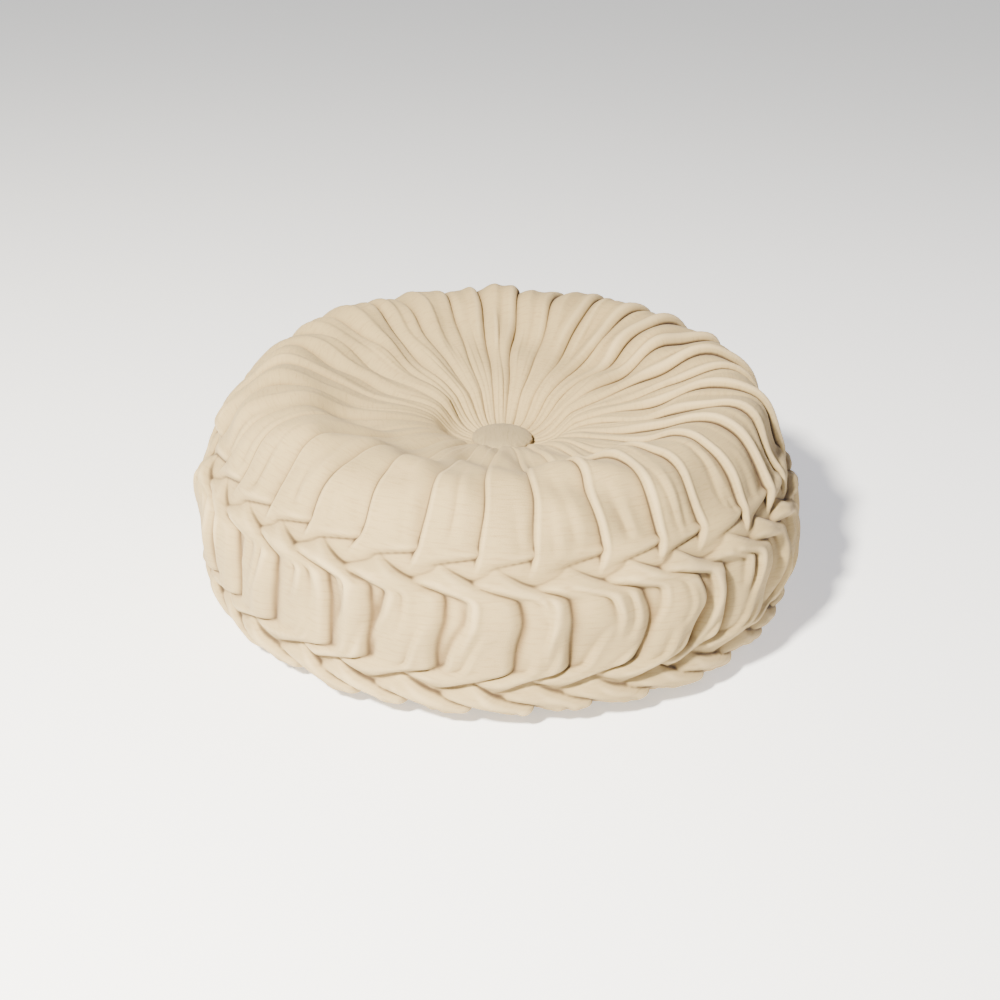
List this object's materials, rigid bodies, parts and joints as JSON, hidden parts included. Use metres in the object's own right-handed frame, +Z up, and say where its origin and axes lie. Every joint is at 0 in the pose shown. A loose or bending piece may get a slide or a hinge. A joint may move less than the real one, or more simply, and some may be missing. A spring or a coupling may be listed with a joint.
{
  "type": "chair seat pad",
  "caption": "Round stuffed seat pad in smocked cloth, with pleats drawn in to a covered button in the middle of each face.",
  "frame": {"origin": "on the surface the pad rests on, under the middle of the pad", "axes": "+Z up through both buttons, +X to the right and -Y to the front; the closing seam is at the back, +Y"},
  "size_m": [0.4, 0.4, 0.148],
  "materials": {
    "cover_velvet": "matte",
    "button_velvet": "matte",
    "cream_thread": "matte",
    "tufting_twine": "satin",
    "lining_cloth": "matte",
    "polyester_fibre": "matte",
    "tin_plate": "satin"
  },
  "bodies": {
    "root": {"smocked_cover": "cover_velvet", "upper_smocking_thread": "cream_thread", "lower_smocking_thread": "cream_thread", "top_gather_thread": "cream_thread", "lower_gather_thread": "cream_thread", "closing_seam_thread": "cream_thread", "lining_top": "lining_cloth", "lining_bottom": "lining_cloth", "lining_edge_seam": "cream_thread", "fibre_filling": "polyester_fibre", "top_button_cloth": "button_velvet", "top_button_shell": "tin_plate", "top_button_back_plate": "tin_plate", "top_button_shank": "tin_plate", "lower_button_cloth": "button_velvet", "lower_button_shell": "tin_plate", "lower_button_back_plate": "tin_plate", "lower_button_shank": "tin_plate", "tufting_twine": "tufting_twine"}
  },
  "joints": []
}
